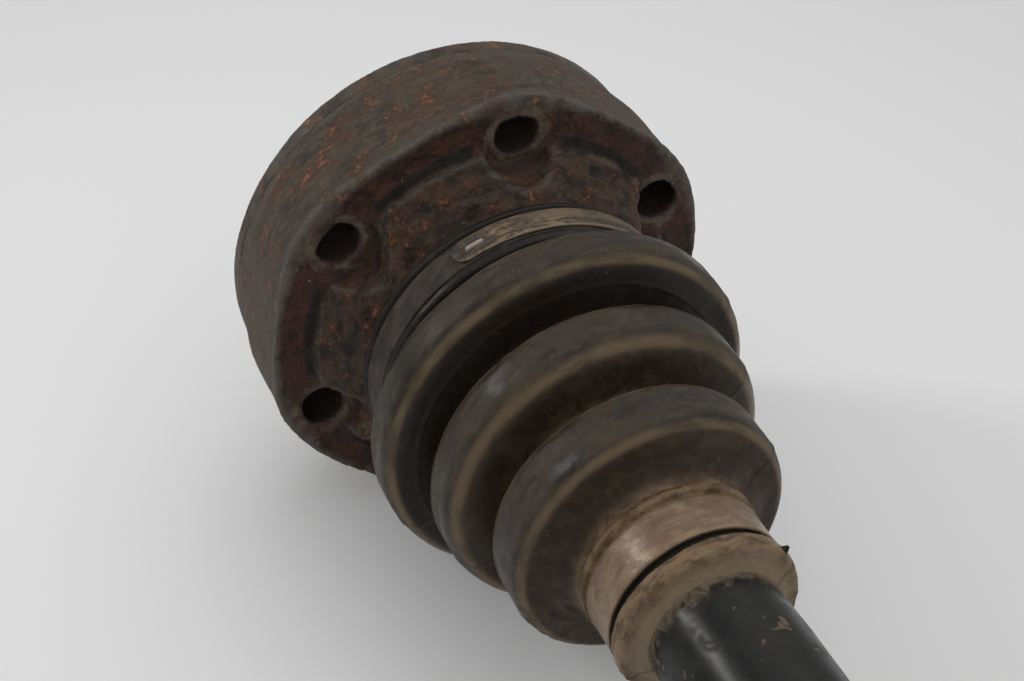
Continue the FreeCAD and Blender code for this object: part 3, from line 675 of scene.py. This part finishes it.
def inner_sculpt(points):
    """Unevenness, dents and mould line of the inner boot's outside."""
    collar = step(points[:, 0], 137.4, 138.4)
    height = 0.14 * noise(points, 13, 5) + 0.05 * layered(points, 3.2, 9)
    height += 0.34 * mould_line(points, 0.45) * step(points[:, 0], 58.0, 61.0)
    radius, azimuth = polar(points)
    creased = np.exp(-((azimuth + 118) / 34) ** 2) * step(points[:, 0], 113.0, 115.0) * (1 - collar)
    height += 0.26 * creased * (1 - 2.2 * np.abs(noise(points * (0.5, 1.0, 1.0), 2.6, 83)))
    flank = step(points[:, 0], 75.6, 76.2) * step(-points[:, 0], -79.0, -78.0)
    height += 0.18 * flank * np.exp(-((radius - 37.4 - 0.3 * noise(points, 9, 81)) / 0.35) ** 2)
    nub = np.linalg.norm(points - np.array(NUB_PLACE), axis=1)
    height += 1.5 * np.exp(-(nub / 0.75) ** 4)
    return height + collar * (0.20 * noise(points, 3.4, 71) + 0.12 * noise(points, 1.3, 73))


def outer_sculpt(points):
    height = 0.12 * noise(points, 14, 25) + 0.05 * layered(points, 3.0, 29)
    return height + 0.34 * mould_line(points, 0.45) * step(-points[:, 0], -452.0, -448.0)


def make_boots(material):
    inner = Boot("inner_boot_rubber", INNER_PROFILE, INNER_SEGMENTS, inner_sculpt)
    pieces = inner.sections(INNER_CUTS, material)
    chain = ("inner_joint", "inner_bellows", "inner_trail_ball", "inner_cage", "inner_lead_ball", "shaft")
    follow(pieces, INNER_CUTS, chain)
    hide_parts("inner_boot")
    outer = Boot("outer_boot_rubber", OUTER_PROFILE, OUTER_SEGMENTS, outer_sculpt)
    pieces = outer.sections(OUTER_CUTS, material)
    chain = ("shaft", "outer_lead_ball", "outer_cage", "outer_trail_ball", "outer_joint")
    follow(pieces, OUTER_CUTS, chain)
    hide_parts("outer_boot")


def follow(pieces, cuts, chain):
    """The first and last ring ride on the chain's ends; the others are baked in place and stay at rest."""
    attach(pieces[0], chain[0])
    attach(pieces[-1], chain[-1])
    for piece, start, end, near, far in zip(pieces[1:-1], cuts, cuts[1:], chain, chain[1:]):
        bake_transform(piece)


# ---- inner joint housing -------------------------------------------------------
def cad_copy(node, name):
    """Copy of a CAD node's mesh with its seams welded."""
    piece = add_object(name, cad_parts[node].data.copy())
    build = bmesh.new()
    build.from_mesh(piece.data)
    bmesh.ops.remove_doubles(build, verts=build.verts, dist=1e-6)
    build.to_mesh(piece.data)
    build.free()
    return piece


def remesh(piece, voxel):
    modifier = piece.modifiers.new("remesh", "REMESH")
    modifier.mode = "VOXEL"
    modifier.voxel_size = voxel * MM
    modifier.adaptivity = 0
    apply_modifiers(piece)


def apply_modifiers(piece):
    graph = bpy.context.evaluated_depsgraph_get()
    mesh = bpy.data.meshes.new_from_object(piece.evaluated_get(graph))
    old = piece.data
    piece.modifiers.clear()
    piece.data = mesh
    bpy.data.meshes.remove(old)


def dress_copy(piece, material, body, node):
    """Gives a reworked copy its material and lets it stand for the CAD node."""
    piece.data.materials.clear()
    piece.data.materials.append(material)
    piece.data.shade_smooth()
    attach(piece, body)
    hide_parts(node)


def hole_distance(points):
    """Distance from the nearest bolt hole's axis."""
    radius, azimuth = polar(points)
    turn = (azimuth - HOLE_AZIMUTH + HOLE_STEP / 2) % HOLE_STEP - HOLE_STEP / 2
    across = radius * np.sin(np.radians(turn))
    out = radius * np.cos(np.radians(turn)) - HOLE_PITCH
    return np.hypot(across, out)


def make_housing(material):
    piece = cad_copy("inner_joint_housing", "forged_housing")
    remesh(piece, HOUSING_VOXEL)
    mesh = piece.data
    pairs = edge_pairs(mesh)
    points = spread(read_points(mesh), pairs, 1)
    write_points(mesh, points)
    normals = vertex_normals(mesh)
    radius, _ = polar(points)
    hole = hole_distance(points)
    points = drawn_in(points, radius, 53.0)
    radius, _ = polar(points)
    wide = spread(points, pairs, 6)
    convex = ((points - wide) * normals).sum(axis=1)
    lean = normals[:, 0]
    pocket = step(hole, 7.0, 8.0) * step(-hole, -12.5, -10.5) * step(points[:, 0], RIM_FRONT - 1.5, RIM_FRONT)
    inward = step(-convex, 0.02, 0.15) * step(radius, 35.0, 36.0) * step(points[:, 0], 29.0, 30.0)
    soft = np.clip(0.6 * pocket + inward, 0, 1)[:, None]
    points = points + (spread(wide, pairs, 10) - points) * soft
    on_hub = step(points[:, 0], RIM_FRONT - 0.2, RIM_FRONT + 1.2) * step(radius, 33.0, 34.0)
    outside = step(hole, HOLE_RADIUS + 0.8, HOLE_RADIUS + 1.8) * step(points[:, 0], 5.0, 7.0)
    outside *= step(radius, 33.5, 34.5)
    height = outside * (0.15 * layered(points, 7.0, 3) + 0.06 * layered(points, 1.8, 11))
    wrinkle = 1 - np.abs(layered(points * (1.0, 0.7, 0.7), 4.2, 17)) * 1.7
    height += outside * on_hub * (0.60 * wrinkle - 0.52 + 0.34 * layered(points, 5.5, 19))
    corner = np.clip(2 * lean * np.sqrt(np.clip(1 - lean ** 2, 0, 1)), 0, 1) * step(radius, 50.5, 52.5)
    height += 0.85 * corner + 0.22 * on_hub * inward * layered(points, 3.0, 23)
    write_points(mesh, points + normals * height[:, None])
    set_attribute(mesh, "place", points)
    front = step(lean, 0.72, 0.93) * step(points[:, 0], RIM_FRONT - 1.6, RIM_FRONT - 0.9)
    front *= step(-points[:, 0], -RIM_FRONT - 1.4, -RIM_FRONT - 0.4) * step(radius, 36.0, 37.0)
    set_attribute(mesh, "face", np.maximum(front, 0.7 * pocket * step(-points[:, 0], -35.0, -32.5)))
    set_attribute(mesh, "hub", on_hub * (1 - front))
    # Painted shade in the deepest wrinkle grooves of the hub.
    set_attribute(mesh, "crack_shade", outside * on_hub * step(-wrinkle, 0.15, 0.75))
    set_attribute(mesh, "ring", front * step(-hole, -SPOT_RADIUS + 0.1, -SPOT_RADIUS + 0.7))
    # Convex edges: edge wear with a painted highlight line.
    set_attribute(mesh, "worn_edge_and_highlight", step(convex, 0.05, 0.20) * step(hole, 6.5, 8.5))
    in_hole = step(-hole, -HOLE_RADIUS - 0.5, -HOLE_RADIUS + 0.2) * step(-points[:, 0], -RIM_FRONT, -29.5)
    set_attribute(mesh, "bore", in_hole)
    # Painted shade in the hollows away from the bolt holes, kept under the name dirt.
    set_attribute(mesh, "dirt", step(-convex, 0.05, 0.22) * step(hole, 6.2, 7.2) * (1 - 0.7 * pocket))
    dress_copy(piece, material, "inner_joint", "inner_joint_housing")


def drawn_in(points, radius, limit):
    """Brings the rear band of the forging to a smaller radius, under the cap's skirt."""
    share = step(-points[:, 0], -5.0, -4.6) * step(radius, 50.0, 52.0)
    scale = 1 + share * (np.minimum(radius, limit) / np.maximum(radius, 1.0) - 1)
    drawn = points.copy()
    drawn[:, 1:] *= scale[:, None]
    return drawn


def make_cap(material):
    """End cap with a rolled skirt a little larger than the forging."""
    piece = cad_copy("inner_end_cap", "pressed_cap")
    points = read_points(piece.data)
    radius, _ = polar(points)
    wanted = np.where(radius > 54.8, CAP_RADIUS, np.where(radius > 54.2, CAP_RADIUS - 1.0, radius))
    points[:, 1:] *= (wanted / np.maximum(radius, 1e-6))[:, None]
    points[:, 0] += 0.45 * step(points[:, 0], 3.0, 4.0)
    write_points(piece.data, points)
    remesh(piece, CAP_VOXEL)
    mesh = piece.data
    points = spread(read_points(mesh), edge_pairs(mesh), 2)
    write_points(mesh, points)
    normals = vertex_normals(mesh)
    radius, _ = polar(points)
    height = 0.16 * noise(points, 11, 91) + 0.05 * layered(points, 2.4, 93)
    write_points(mesh, points + normals * (height * step(radius, 4.0, 9.0))[:, None])
    set_attribute(mesh, "place", points)
    dress_copy(piece, material, "inner_joint", "inner_end_cap")


# ---- clamps --------------------------------------------------------------------
def band(name, start, width, radius, material):
    """Steel band with rolled edges."""
    lip = 0.18
    end = start + width
    outline = [(start, radius), (start, radius + BAND_WALL - lip), (start + lip, radius + BAND_WALL),
               (start + 1.0, radius + BAND_WALL - 0.10), (end - 1.0, radius + BAND_WALL - 0.10),
               (end - lip, radius + BAND_WALL), (end, radius + BAND_WALL - lip), (end, radius)]
    line = []
    for a, b in zip(outline, outline[1:] + outline[:1]):
        steps = max(1, int(math.dist(a, b) / 0.7))
        line += [(a[0] + (b[0] - a[0]) * k / steps, a[1] + (b[1] - a[1]) * k / steps) for k in range(steps)]
    points = swept(np.array(line), BAND_SEGMENTS).reshape(-1, 3)
    radius_now, _ = polar(points)
    wave = 0.10 * noise(points, 9, 41)
    points[:, 1:] *= (1 + wave / radius_now)[:, None]
    piece = make_object(name, points, ring_faces(len(line), BAND_SEGMENTS, True), material)
    set_attribute(piece.data, "place", points)
    return piece


def clamp_tongue(name, start, width, radius, first, last, material):
    """Free end of a band: a strip with a rounded tip, a pressed oval and a bead in it."""
    half = width / 2
    tip = np.radians(np.linspace(4, 90, 22))
    arc = np.concatenate([half * (1 - np.cos(tip)),
                          np.arange(half + 0.3, math.radians(last - first) * radius, 0.3)])
    reach = np.concatenate([half * np.sin(tip), np.full(len(arc) - len(tip), half)])
    across = np.linspace(-1, 1, 31)
    arc_now = np.repeat(arc[:, None], len(across), axis=1)
    out_now = reach[:, None] * across[None, :]
    edge = np.maximum(np.abs(across)[None, :] * np.ones_like(arc_now), 1 - arc_now / 1.2)
    oval = np.hypot((arc_now - TONGUE_OVAL_PLACE) / 4.6, out_now / 2.5)
    bead = np.hypot(np.maximum(np.abs(arc_now - TONGUE_OVAL_PLACE + 0.8) - 1.7, 0), out_now)
    height = BAND_WALL - 0.30 * np.clip(edge, 0, 1) ** 10 - 0.45 * step(-oval, -1.0, -0.85)
    height += 0.62 * step(-bead, -0.62, -0.30)
    turn = np.radians(first) + arc_now / radius
    flat = np.stack([start + half + out_now, radius * np.sin(turn), radius * np.cos(turn)], axis=-1)
    outward = np.stack([np.zeros_like(turn), np.sin(turn), np.cos(turn)], axis=-1)
    uneven = 0.06 * noise(flat.reshape(-1, 3), 3.5, 53).reshape(height.shape)
    top = flat + outward * (height + uneven)[:, :, None]
    rows, columns = arc_now.shape
    shell = np.concatenate([flat, top[:, ::-1]], axis=1)
    faces = []
    for row in range(rows - 1):
        for column in range(2 * columns):
            ahead = (column + 1) % (2 * columns)
            here = row * 2 * columns
            there = here + 2 * columns
            faces.append((here + column, there + column, there + ahead, here + ahead))
    faces.append(tuple(range(2 * columns)))
    faces.append(tuple(reversed(range((rows - 1) * 2 * columns, rows * 2 * columns))))
    points = shell.reshape(-1, 3)
    piece = make_object(name, points, faces, material)
    arc_all, edge_all, bead_all, out_all = (np.concatenate([values, values[:, ::-1]], axis=1).ravel()
                                            for values in (arc_now, edge, bead, out_now))
    set_attribute(piece.data, "place", points)
    set_attribute(piece.data, "arc", arc_all)
    set_attribute(piece.data, "rim", step(edge_all, 0.80, 0.95))
    set_attribute(piece.data, "bead", step(-bead_all, -0.62, -0.36))
    set_attribute(piece.data, "side", out_all)
    outward_faces(piece)
    return piece


def outward_faces(piece):
    """Turns every face of a closed piece outwards."""
    build = bmesh.new()
    build.from_mesh(piece.data)
    bmesh.ops.recalc_face_normals(build, faces=build.faces)
    build.to_mesh(piece.data)
    build.free()


def make_clamps():
    dull = clamp_material("dull_clamp", (0.017, 0.0125, 0.0105), (0.060, 0.043, 0.033), 0.66, 0.0, 0.8)
    bright = clamp_material("satin_clamp", (0.160, 0.104, 0.062), (0.250, 0.174, 0.106), 0.34, 0.15, 0.18)
    scuffed = tongue_material()
    for node, body, radius, look, first in (
            ("inner_boot_large_clamp", "inner_joint", 37.0, dull, -27.5),
            ("inner_boot_small_clamp", "shaft", 19.4, bright, 150.0),
            ("outer_boot_large_clamp", "outer_joint", 45.4, dull, 30.0),
            ("outer_boot_small_clamp", "shaft", 19.4, bright, 60.0)):
        low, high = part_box(node)
        start = low.x / MM + BAND_INSET
        width = (high.x - low.x) / MM - 2 * BAND_INSET
        piece = band(node + "_band", start, width, radius, look)
        tongue = clamp_tongue(node + "_tongue", start + 0.5, width - 1.0, radius + BAND_WALL, first,
                              first + TONGUE_SWEEP, scuffed)
        for part in (piece, tongue):
            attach(part, body)
        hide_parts(node)


# ---- bar, stub and other turned steel ------------------------------------------
def runs(corners, spacing):
    """Rows of (x, radius) along a turned outline, no further apart than the spacing."""
    rows = [corners[0]]
    for before, after in zip(corners, corners[1:]):
        count = max(1, math.ceil(math.dist(before, after) / spacing))
        rows += [tuple(np.add(before, np.subtract(after, before) * k / count)) for k in range(1, count + 1)]
    return rows


def turned(name, rows, columns, swell, material):
    """Closed turned piece; swell(x, azimuth, radius) is what is added to the radius."""
    grid = swept(np.array(rows), columns)
    azimuth = np.arange(columns) * 360 / columns
    x = grid[:, :, 0]
    radius = np.repeat(np.array(rows)[:, 1:], columns, axis=1)
    share = 1 + swell(x, np.broadcast_to(azimuth, x.shape), radius) / radius
    grid[:, :, 1:] *= share[:, :, None]
    last = (len(rows) - 1) * columns
    faces = ring_faces(len(rows), columns, False)
    faces.append(tuple(range(columns)))
    faces.append(tuple(range(last + columns - 1, last - 1, -1)))
    piece = make_object(name, grid.reshape(-1, 3), faces, material)
    outward_faces(piece)
    piece.data.set_sharp_from_angle(angle=SHARP_ANGLE)
    return piece


def teeth(azimuth, count):
    """Height from 0 to 1 of a spline's tooth at each azimuth."""
    place = azimuth * count / 360 % 1
    return step(-np.abs(place - 0.5), -0.36, -0.20)


def make_bar(material):
    """The whole bar: uneven painted middle, plain necks, splines inside the joints."""
    low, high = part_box("axle_shaft")
    start = low.x / MM
    end = high.x / MM
    first, last = RACE_EDGES
    corners = [(start, 12.0), (start + 0.6, NECK), (first, NECK), (107.5, NECK), (112.5, SEAT), (140.5, SEAT),
               (157.5, BAR), (334.0, BAR), (351.0, SEAT), (374.0, SEAT), (379.0, NECK), (last, NECK),
               (end - 0.6, NECK), (end, 12.0)]

    def swell(x, azimuth, radius):
        points = np.stack([x, radius * np.sin(np.radians(azimuth)), radius * np.cos(np.radians(azimuth))], -1)
        uneven = noise(points.reshape(-1, 3), 9, 101).reshape(x.shape)
        splined = step(-x, -first, -25.8) * step(x, start + 0.5, start + 0.7)
        splined += step(x, last, 459.6) * step(-x, -end + 0.5, -end + 0.7)
        return 0.9 * splined * teeth(azimuth, BAR_TEETH) + 0.05 * uneven * (1 - splined)

    piece = turned("painted_bar", runs(corners, 2.6), BAR_TEETH * 8, swell, material)
    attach(piece, "shaft")
    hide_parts("axle_shaft")


def make_stub(material):
    """Journal, splines and thread of the wheel end."""
    _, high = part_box("outer_joint_bell")
    end = high.x / MM
    corners = [(STUB_START, JOURNAL), (520.0, JOURNAL), (520.4, SPLINE_ROOT), (553.6, SPLINE_ROOT),
               (554.2, RELIEF), (556.8, RELIEF), (557.2, THREAD_ROOT)]
    rows = runs(corners, 1.2) + runs([(557.4, THREAD_ROOT), (end - 1.0, THREAD_ROOT)], THREAD_PITCH / 8)
    rows += [(end, 10.4), (end, 3.2), (end - 2.6, 0.4)]

    def swell(x, azimuth, _):
        splined = step(x, 520.3, 521.6) * step(-x, -553.7, -552.4)
        turn = (x / THREAD_PITCH - azimuth / 360) % 1
        thread = step(x, 557.6, 559.0) * step(-x, -end + 0.9, -end + 2.2) * (1 - np.abs(2 * turn - 1))
        return 1.0 * splined * teeth(azimuth, STUB_TEETH) + 1.05 * thread

    piece = turned("wheel_stub", rows, STUB_TEETH * 10, swell, material)
    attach(piece, "outer_joint")


def weathered(node, name, voxel, relief, material, stop=None):
    """Finer copy of an outer joint's CAD piece with softened edges and an uneven rusty skin."""
    piece = cad_copy(node, name)
    if stop is not None:
        cut_off(piece, stop)
    remesh(piece, voxel)
    mesh = piece.data
    points = spread(read_points(mesh), edge_pairs(mesh), 1)
    write_points(mesh, points)
    height = relief * (noise(points, 8, 111) + 0.8 * layered(points, 2.2, 113))
    write_points(mesh, points + vertex_normals(mesh) * height[:, None])
    dress_copy(piece, material, "outer_joint", node)


def cut_off(piece, stop):
    """Removes what lies past x = stop and closes the cut."""
    build = bmesh.new()
    build.from_mesh(piece.data)
    everything = build.verts[:] + build.edges[:] + build.faces[:]
    cut = bmesh.ops.bisect_plane(build, geom=everything, plane_co=(stop * MM, 0, 0), plane_no=(1, 0, 0),
                                 clear_outer=True)
    edges = [item for item in cut["geom_cut"] if isinstance(item, bmesh.types.BMEdge)]
    bmesh.ops.holes_fill(build, edges=edges)
    build.to_mesh(piece.data)
    build.free()


def make_outer_steel():
    bell = steel_material("bell_steel", (0.070, 0.058, 0.048), (0.150, 0.128, 0.108), (0.150, 0.060, 0.034),
                          0.45, 0.52, 0.35)
    stub = steel_material("stub_steel", (0.120, 0.105, 0.092), (0.240, 0.220, 0.200), (0.155, 0.066, 0.036),
                          0.30, 0.40, 0.6)
    ring = steel_material("ring_steel", (0.075, 0.058, 0.046), (0.150, 0.112, 0.084), (0.190, 0.075, 0.038),
                          0.55, 0.60, 0.25)
    sheet = steel_material("shield_sheet", (0.085, 0.078, 0.070), (0.165, 0.150, 0.134),
                           (0.165, 0.072, 0.038), 0.4, 0.50, 0.4)
    weathered("outer_joint_bell", "forged_bell", BELL_VOXEL, 0.07, bell, STUB_START + 0.3)
    make_stub(stub)
    weathered("abs_tone_ring", "toothed_ring", RING_VOXEL, 0.05, ring)
    weathered("outer_dust_shield", "pressed_shield", SHIELD_VOXEL, 0.05, sheet)


# ---- CAD nodes that stay -------------------------------------------------------
def dress(names, material):
    for name in names:
        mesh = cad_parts[name].data
        mesh.materials.clear()
        mesh.materials.append(material)


def dress_cad_nodes():
    ball_names = [f"{side}_ball_{number}" for side in ("inner", "outer") for number in range(1, 7)]
    dress(ball_names + ["inner_race", "outer_race"],
          steel_material("ground_steel", (0.42, 0.42, 0.43), (0.56, 0.56, 0.57), (0.20, 0.13, 0.08), 0.05,
                         0.24, 1.0))
    dress(["inner_cage", "outer_cage"],
          steel_material("cage_steel", (0.20, 0.19, 0.18), (0.30, 0.29, 0.27), (0.16, 0.10, 0.06), 0.15, 0.42))
    dress(["inner_race_circlip", "outer_race_circlip", "inner_dished_washer", "outer_dished_washer"],
          steel_material("spring_steel", (0.11, 0.12, 0.14), (0.20, 0.21, 0.23), (0.16, 0.10, 0.06), 0.1, 0.35))
    dress(["inner_cap_gasket"],
          steel_material("gasket_paper", (0.20, 0.18, 0.14), (0.28, 0.25, 0.20), (0.10, 0.07, 0.05), 0.2,
                         0.85, 0.0))


# ---- camera, lights, floor -----------------------------------------------------
def direction(azimuth, elevation):
    """Unit vector from the object towards a viewer."""
    turn = math.radians(azimuth)
    rise = math.radians(elevation)
    return Vector((math.sin(turn) * math.cos(rise), -math.cos(turn) * math.cos(rise), math.sin(rise)))


def aim(thing, azimuth, elevation, distance, target):
    back = direction(azimuth, elevation)
    right = Vector((0, 0, 1)).cross(back).normalized()
    up = back.cross(right)
    turn = Matrix((right, up, back)).transposed().to_4x4()
    thing.matrix_world = Matrix.Translation(Vector(target) + back * distance) @ turn


def make_camera():
    data = bpy.data.cameras.new("camera")
    data.lens = LENS
    data.sensor_width = SENSOR
    data.clip_start = 0.01
    camera = add_object("camera", data)
    aim(camera, VIEW_AZIMUTH, VIEW_ELEVATION, VIEW_DISTANCE_M, VIEW_AIM_M)
    bpy.context.scene.camera = camera


def make_light(name, azimuth, elevation, size, watts, colour):
    data = bpy.data.lights.new(name, "AREA")
    data.shape = "DISK"
    data.size = size
    data.energy = watts
    data.color = colour
    light = add_object(name, data)
    aim(light, azimuth, elevation, LIGHT_DISTANCE_M, LIGHT_AIM_M)


def make_sky():
    """Soft room light, brightest overhead and dimmest from below."""
    world = bpy.data.worlds.new("sky")
    bpy.context.scene.world = world
    world.use_nodes = True
    tree = world.node_tree
    place = tree.nodes.new("ShaderNodeTexCoord")
    towards = tree.nodes.new("ShaderNodeVectorMath")
    towards.operation = "DOT_PRODUCT"
    towards.inputs[1].default_value = Vector(SKY_BRIGHT_SIDE).normalized()
    level = tree.nodes.new("ShaderNodeMapRange")
    level.inputs["From Min"].default_value = -1.0
    level.inputs["To Min"].default_value = SKY_DIM
    level.inputs["To Max"].default_value = SKY_BRIGHT
    background = tree.nodes["Background"]
    background.inputs[0].default_value = SKY_COLOUR
    tree.links.new(place.outputs["Generated"], towards.inputs[0])
    tree.links.new(towards.outputs["Value"], level.inputs["Value"])
    tree.links.new(level.outputs[0], background.inputs[1])


def make_stage():
    mesh = bpy.data.meshes.new("floor")
    half = FLOOR_SIZE_M / 2
    level = min(cad_bounds[0][2], cad_bounds[1][2])
    mesh.from_pydata([(-half, -half, level), (half, -half, level), (half, half, level), (-half, half, level)],
                     [], [(0, 1, 2, 3)])
    floor = add_object("floor", mesh)
    mesh.materials.append(floor_material())
    make_sky()
    for light in LIGHTS:
        make_light(*light)
    bpy.context.scene.view_settings.view_transform = "Standard"


make_camera()
make_stage()
make_boots(rubber_material())
make_housing(forging_material())
make_cap(cap_material())
make_clamps()
make_bar(paint_material())
make_outer_steel()
dress_cad_nodes()
